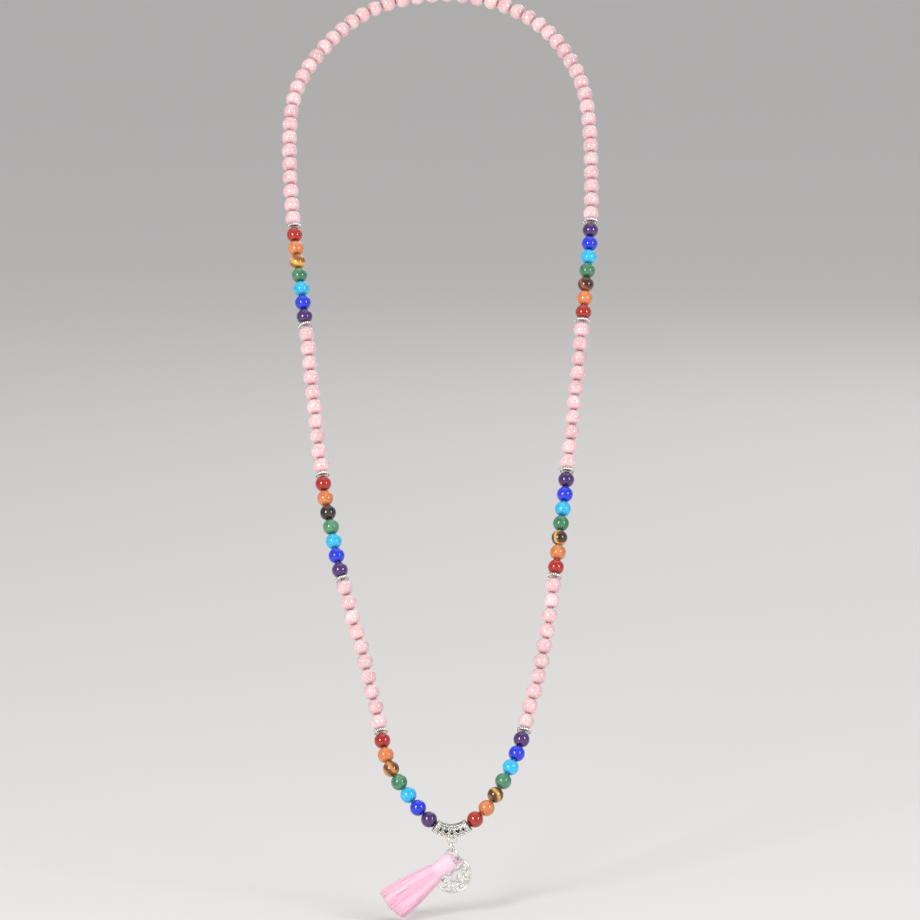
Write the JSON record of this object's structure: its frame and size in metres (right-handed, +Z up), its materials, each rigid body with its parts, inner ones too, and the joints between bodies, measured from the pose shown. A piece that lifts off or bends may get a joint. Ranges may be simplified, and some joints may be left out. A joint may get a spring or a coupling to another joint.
{
  "type": "mala prayer beads",
  "caption": "Long strand of round polished stone beads on elastic cord, parted by metal spacer discs, with an openwork bail that carries a tree charm and a silk tassel.",
  "frame": {"origin": "middle of the stretch of cord that lies over the back of the neck, which is where the mala hangs", "axes": "+Z up, the wearer's front towards -Y, +X to the right of somebody who faces the wearer"},
  "size_m": [0.1194, 0.2132, 0.3211],
  "materials": {
    "rose_quartz": "polished, cloudy pale pink",
    "amethyst": "polished, deep violet",
    "lapis": "polished, strong even blue",
    "turquoise": "polished, light blue, faintly mottled",
    "aventurine": "polished, milky green",
    "tiger_eye": "polished, banded gold and brown",
    "orange_aventurine": "polished, milky orange",
    "carnelian": "polished, translucent red",
    "chakra_set": "polished, seven stones in one run: red, orange, gold, green, light blue, blue and violet",
    "silver": "cast silver-coloured metal, worn bright on its edges",
    "elastic": "thin translucent stretch cord",
    "silk": "glossy pink silk threads"
  },
  "bodies": {
    "neck_arc": {"back_rose_beads": "rose_quartz", "back_cord": "elastic"},
    "upper_front": {"left_neck_rose_beads": "rose_quartz", "left_upper_chakra_beads": "chakra_set", "left_upper_rose_beads": "rose_quartz", "left_upper_cord": "elastic", "right_neck_rose_beads": "rose_quartz", "right_upper_chakra_beads": "chakra_set", "right_upper_rose_beads": "rose_quartz", "right_upper_cord": "elastic"},
    "lower_front": {"left_lower_rose_beads": "rose_quartz", "left_lower_cord": "elastic", "right_lower_rose_beads": "rose_quartz", "right_lower_cord": "elastic"},
    "bail": {"bail": "silver", "knotted_cord_end": "elastic"},
    "small_link": {"small_link": "silver"},
    "jump_ring": {"jump_ring": "silver"},
    "tree_charm": {"tree_charm": "silver"},
    "tassel": {"tassel_core_threads": "silk", "tassel_band": "silk", "tassel_skirt": "silk"},
    "left_lower_amethyst": {"left_lower_amethyst_bead": "amethyst"},
    "left_lower_lapis": {"left_lower_lapis_bead": "lapis"},
    "left_lower_turquoise": {"left_lower_turquoise_bead": "turquoise"},
    "left_lower_aventurine": {"left_lower_aventurine_bead": "aventurine"},
    "left_lower_tiger_eye": {"left_lower_tiger_eye_bead": "tiger_eye"},
    "left_lower_orange_aventurine": {"left_lower_orange_aventurine_bead": "orange_aventurine"},
    "left_lower_carnelian": {"left_lower_carnelian_bead": "carnelian"},
    "left_middle_amethyst": {"left_middle_amethyst_bead": "amethyst"},
    "left_middle_lapis": {"left_middle_lapis_bead": "lapis"},
    "left_middle_turquoise": {"left_middle_turquoise_bead": "turquoise"},
    "left_middle_aventurine": {"left_middle_aventurine_bead": "aventurine"},
    "left_middle_tiger_eye": {"left_middle_tiger_eye_bead": "tiger_eye"},
    "left_middle_orange_aventurine": {"left_middle_orange_aventurine_bead": "orange_aventurine"},
    "left_middle_carnelian": {"left_middle_carnelian_bead": "carnelian"},
    "left_spacer_1": {"left_spacer_1": "silver"},
    "left_spacer_2": {"left_spacer_2": "silver"},
    "left_spacer_3": {"left_spacer_3": "silver"},
    "left_spacer_4": {"left_spacer_4": "silver"},
    "left_spacer_5": {"left_spacer_5": "silver"},
    "right_lower_carnelian": {"right_lower_carnelian_bead": "carnelian"},
    "right_lower_orange_aventurine": {"right_lower_orange_aventurine_bead": "orange_aventurine"},
    "right_lower_tiger_eye": {"right_lower_tiger_eye_bead": "tiger_eye"},
    "right_lower_aventurine": {"right_lower_aventurine_bead": "aventurine"},
    "right_lower_turquoise": {"right_lower_turquoise_bead": "turquoise"},
    "right_lower_lapis": {"right_lower_lapis_bead": "lapis"},
    "right_lower_amethyst": {"right_lower_amethyst_bead": "amethyst"},
    "right_middle_carnelian": {"right_middle_carnelian_bead": "carnelian"},
    "right_middle_orange_aventurine": {"right_middle_orange_aventurine_bead": "orange_aventurine"},
    "right_middle_tiger_eye": {"right_middle_tiger_eye_bead": "tiger_eye"},
    "right_middle_aventurine": {"right_middle_aventurine_bead": "aventurine"},
    "right_middle_turquoise": {"right_middle_turquoise_bead": "turquoise"},
    "right_middle_lapis": {"right_middle_lapis_bead": "lapis"},
    "right_middle_amethyst": {"right_middle_amethyst_bead": "amethyst"},
    "right_spacer_1": {"right_spacer_1": "silver"},
    "right_spacer_2": {"right_spacer_2": "silver"},
    "right_spacer_3": {"right_spacer_3": "silver"},
    "right_spacer_4": {"right_spacer_4": "silver"},
    "right_spacer_5": {"right_spacer_5": "silver"}
  },
  "joints": [
    {"name": "front_swing", "type": "hinge", "parent": "neck_arc", "child": "upper_front", "pos_m": [0.00026, -0.01915, -0.01455], "axis": [-1, -0.0046, -0.0051], "range_deg": [0, 45]},
    {"name": "lower_lift", "type": "hinge", "parent": "upper_front", "child": "lower_front", "pos_m": [-0.00069, -0.13408, -0.17064], "axis": [-1, 0.0009, 0.0014], "range_deg": [0, 45]},
    {"name": "bail_swing", "type": "hinge", "parent": "lower_front", "child": "bail", "pos_m": [0, -0.2021, -0.28536], "axis": [-1, 0, 0], "range_deg": [-18, 40]},
    {"name": "link_swing", "type": "hinge", "parent": "bail", "child": "small_link", "pos_m": [0, -0.2021, -0.29279], "axis": [0, 1, 0], "range_deg": [-16, 16]},
    {"name": "ring_swing", "type": "hinge", "parent": "small_link", "child": "jump_ring", "pos_m": [0, -0.2021, -0.29514], "axis": [-1, 0, 0], "range_deg": [-25, 25]},
    {"name": "charm_swing", "type": "hinge", "parent": "jump_ring", "child": "tree_charm", "pos_m": [0, -0.2021, -0.29722], "axis": [-1, 0, 0], "range_deg": [-25, 0]},
    {"name": "tassel_swing", "type": "hinge", "parent": "jump_ring", "child": "tassel", "pos_m": [0.00227, -0.20369, -0.29823], "axis": [-0.0499, -0.9975, 0.0499], "range_deg": [-10, 50]},
    {"name": "left_lower_amethyst_spin", "type": "hinge", "parent": "lower_front", "child": "left_lower_amethyst", "pos_m": [-0.00816, -0.20115, -0.28339], "axis": [-0.7198, 0.2997, 0.6262], "continuous": true},
    {"name": "left_lower_lapis_spin", "type": "hinge", "parent": "lower_front", "child": "left_lower_lapis", "pos_m": [-0.01204, -0.19918, -0.27943], "axis": [-0.5951, 0.3689, 0.714], "continuous": true},
    {"name": "left_lower_turquoise_spin", "type": "hinge", "parent": "lower_front", "child": "left_lower_turquoise", "pos_m": [-0.01547, -0.19697, -0.27517], "axis": [-0.5661, 0.3795, 0.7318], "continuous": true},
    {"name": "left_lower_aventurine_spin", "type": "hinge", "parent": "lower_front", "child": "left_lower_aventurine", "pos_m": [-0.01875, -0.19466, -0.27084], "axis": [-0.5459, 0.4042, 0.7339], "continuous": true},
    {"name": "left_lower_tiger_eye_spin", "type": "hinge", "parent": "lower_front", "child": "left_lower_tiger_eye", "pos_m": [-0.0216, -0.19201, -0.26644], "axis": [-0.422, 0.4947, 0.7597], "continuous": true},
    {"name": "left_lower_orange_aventurine_spin", "type": "hinge", "parent": "lower_front", "child": "left_lower_orange_aventurine", "pos_m": [-0.02352, -0.18875, -0.26195], "axis": [-0.2257, 0.6074, 0.7617], "continuous": true},
    {"name": "left_lower_carnelian_spin", "type": "hinge", "parent": "lower_front", "child": "left_lower_carnelian", "pos_m": [-0.02468, -0.18533, -0.25729], "axis": [-0.17, 0.5538, 0.8151], "continuous": true},
    {"name": "left_middle_amethyst_spin", "type": "hinge", "parent": "lower_front", "child": "left_middle_amethyst", "pos_m": [-0.03953, -0.15309, -0.19981], "axis": [-0.2173, 0.5166, 0.8282], "continuous": true},
    {"name": "left_middle_lapis_spin", "type": "hinge", "parent": "lower_front", "child": "left_middle_lapis", "pos_m": [-0.04071, -0.14998, -0.19494], "axis": [-0.1841, 0.5401, 0.8212], "continuous": true},
    {"name": "left_middle_turquoise_spin", "type": "hinge", "parent": "lower_front", "child": "left_middle_turquoise", "pos_m": [-0.04175, -0.14676, -0.19011], "axis": [-0.1658, 0.5507, 0.8181], "continuous": true},
    {"name": "left_middle_aventurine_spin", "type": "hinge", "parent": "lower_front", "child": "left_middle_aventurine", "pos_m": [-0.04271, -0.14351, -0.18527], "axis": [-0.1618, 0.5497, 0.8196], "continuous": true},
    {"name": "left_middle_tiger_eye_spin", "type": "hinge", "parent": "lower_front", "child": "left_middle_tiger_eye", "pos_m": [-0.04376, -0.1403, -0.18044], "axis": [-0.1939, 0.5381, 0.8202], "continuous": true},
    {"name": "left_middle_orange_aventurine_spin", "type": "hinge", "parent": "lower_front", "child": "left_middle_orange_aventurine", "pos_m": [-0.04476, -0.13715, -0.17555], "axis": [-0.1443, 0.5308, 0.8351], "continuous": true},
    {"name": "left_middle_carnelian_spin", "type": "hinge", "parent": "lower_front", "child": "left_middle_carnelian", "pos_m": [-0.04544, -0.13404, -0.17058], "axis": [-0.0849, 0.5209, 0.8494], "continuous": true},
    {"name": "left_spacer_1_spin", "type": "hinge", "parent": "lower_front", "child": "left_spacer_1", "pos_m": [-0.02529, -0.18335, -0.25431], "axis": [-0.1503, 0.5095, 0.8473], "continuous": true},
    {"name": "left_spacer_2_spin", "type": "hinge", "parent": "lower_front", "child": "left_spacer_2", "pos_m": [-0.03872, -0.15496, -0.20282], "axis": [-0.2506, 0.4977, 0.8304], "continuous": true},
    {"name": "left_spacer_3_spin", "type": "hinge", "parent": "upper_front", "child": "left_spacer_3", "pos_m": [-0.04576, -0.13216, -0.16749], "axis": [-0.1032, 0.5109, 0.8534], "continuous": true},
    {"name": "left_spacer_4_spin", "type": "hinge", "parent": "upper_front", "child": "left_spacer_4", "pos_m": [-0.05161, -0.10191, -0.1156], "axis": [-0.1123, 0.5341, 0.8379], "continuous": true},
    {"name": "left_spacer_5_spin", "type": "hinge", "parent": "upper_front", "child": "left_spacer_5", "pos_m": [-0.05598, -0.07708, -0.0812], "axis": [-0.0726, 0.5859, 0.8071], "continuous": true},
    {"name": "right_lower_carnelian_spin", "type": "hinge", "parent": "lower_front", "child": "right_lower_carnelian", "pos_m": [0.00839, -0.20127, -0.28363], "axis": [0.7941, 0.2612, 0.5489], "continuous": true},
    {"name": "right_lower_orange_aventurine_spin", "type": "hinge", "parent": "lower_front", "child": "right_lower_orange_aventurine", "pos_m": [0.01256, -0.19944, -0.27995], "axis": [0.6182, 0.3597, 0.6989], "continuous": true},
    {"name": "right_lower_tiger_eye_spin", "type": "hinge", "parent": "lower_front", "child": "right_lower_tiger_eye", "pos_m": [0.01586, -0.1972, -0.27562], "axis": [0.5015, 0.3974, 0.7685], "continuous": true},
    {"name": "right_lower_aventurine_spin", "type": "hinge", "parent": "lower_front", "child": "right_lower_aventurine", "pos_m": [0.01879, -0.19479, -0.27109], "axis": [0.4895, 0.419, 0.7647], "continuous": true},
    {"name": "right_lower_turquoise_spin", "type": "hinge", "parent": "lower_front", "child": "right_lower_turquoise", "pos_m": [0.02152, -0.19212, -0.2666], "axis": [0.4365, 0.487, 0.7565], "continuous": true},
    {"name": "right_lower_lapis_spin", "type": "hinge", "parent": "lower_front", "child": "right_lower_lapis", "pos_m": [0.02383, -0.18896, -0.26221], "axis": [0.3474, 0.5849, 0.733], "continuous": true},
    {"name": "right_lower_amethyst_spin", "type": "hinge", "parent": "lower_front", "child": "right_lower_amethyst", "pos_m": [0.02566, -0.18562, -0.25771], "axis": [0.2722, 0.5484, 0.7907], "continuous": true},
    {"name": "right_middle_carnelian_spin", "type": "hinge", "parent": "lower_front", "child": "right_middle_carnelian", "pos_m": [0.03953, -0.15329, -0.20012], "axis": [0.16, 0.5205, 0.8388], "continuous": true},
    {"name": "right_middle_orange_aventurine_spin", "type": "hinge", "parent": "lower_front", "child": "right_middle_orange_aventurine", "pos_m": [0.04037, -0.15015, -0.19519], "axis": [0.1238, 0.5442, 0.8298], "continuous": true},
    {"name": "right_middle_tiger_eye_spin", "type": "hinge", "parent": "lower_front", "child": "right_middle_tiger_eye", "pos_m": [0.04107, -0.1469, -0.19031], "axis": [0.1119, 0.5547, 0.8245], "continuous": true},
    {"name": "right_middle_aventurine_spin", "type": "hinge", "parent": "lower_front", "child": "right_middle_aventurine", "pos_m": [0.04174, -0.14363, -0.18545], "axis": [0.1173, 0.5534, 0.8246], "continuous": true},
    {"name": "right_middle_turquoise_spin", "type": "hinge", "parent": "lower_front", "child": "right_middle_turquoise", "pos_m": [0.04257, -0.1404, -0.18058], "axis": [0.1636, 0.5417, 0.8245], "continuous": true},
    {"name": "right_middle_lapis_spin", "type": "hinge", "parent": "lower_front", "child": "right_middle_lapis", "pos_m": [0.04343, -0.13723, -0.17568], "axis": [0.129, 0.5326, 0.8365], "continuous": true},
    {"name": "right_middle_amethyst_spin", "type": "hinge", "parent": "lower_front", "child": "right_middle_amethyst", "pos_m": [0.04405, -0.13412, -0.17071], "axis": [0.0792, 0.5218, 0.8494], "continuous": true},
    {"name": "right_spacer_1_spin", "type": "hinge", "parent": "lower_front", "child": "right_spacer_1", "pos_m": [0.02662, -0.18365, -0.25481], "axis": [0.2242, 0.5077, 0.8318], "continuous": true},
    {"name": "right_spacer_2_spin", "type": "hinge", "parent": "lower_front", "child": "right_spacer_2", "pos_m": [0.03893, -0.15517, -0.20317], "axis": [0.1882, 0.5032, 0.8434], "continuous": true},
    {"name": "right_spacer_3_spin", "type": "hinge", "parent": "upper_front", "child": "right_spacer_3", "pos_m": [0.04435, -0.13223, -0.16762], "axis": [0.1042, 0.5116, 0.8529], "continuous": true},
    {"name": "right_spacer_4_spin", "type": "hinge", "parent": "upper_front", "child": "right_spacer_4", "pos_m": [0.0515, -0.10207, -0.11583], "axis": [0.1218, 0.5318, 0.838], "continuous": true},
    {"name": "right_spacer_5_spin", "type": "hinge", "parent": "upper_front", "child": "right_spacer_5", "pos_m": [0.0556, -0.07724, -0.0814], "axis": [0.0578, 0.5876, 0.8071], "continuous": true}
  ]
}
